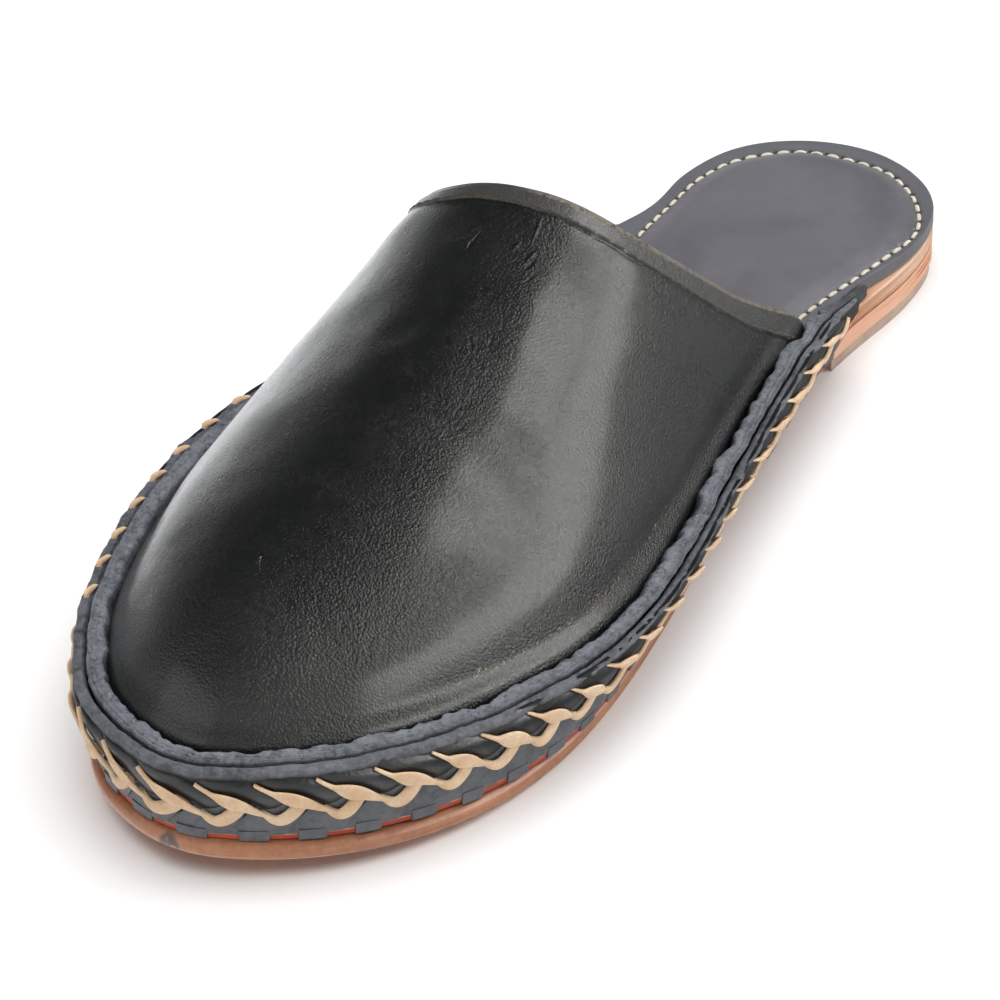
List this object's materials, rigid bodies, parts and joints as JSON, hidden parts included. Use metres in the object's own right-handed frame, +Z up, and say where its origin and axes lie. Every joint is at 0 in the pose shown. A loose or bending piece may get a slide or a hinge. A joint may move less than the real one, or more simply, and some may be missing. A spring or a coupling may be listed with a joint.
{
  "type": "kolhapuri mule sandal",
  "caption": "Right-foot leather slip-on with closed toe, open back, plaited side band laced in tan, tan leather sole and low stacked heel.",
  "frame": {"origin": "middle of the bounding box, on the floor that the sole stands on", "axes": "+X from heel to toe, +Y to the wearer's left, which is the inner side of this right shoe, +Z up"},
  "size_m": [0.2688, 0.113, 0.079],
  "materials": {
    "tan_sole_leather": "vegetable-tanned sole leather, burnished edge",
    "heel_stack_leather": "stacked leather, orange edge dye",
    "pale_heel_leather": "undyed raw leather",
    "raw_edge_leather": "raw flesh-side edge, matt",
    "black_braid_leather": "semi-gloss black straps",
    "black_upper_leather": "polished black grain leather",
    "footbed_leather": "satin black leather",
    "tan_lace_leather": "undyed narrow leather lace",
    "pale_thread": "waxed cotton thread"
  },
  "bodies": {
    "root": {"outsole": "tan_sole_leather", "heel_lift": "heel_stack_leather", "heel_top_lift": "pale_heel_leather", "welt": "raw_edge_leather", "braided_band": "black_braid_leather", "vamp": "black_upper_leather", "footbed": "footbed_leather"}
  },
  "joints": []
}
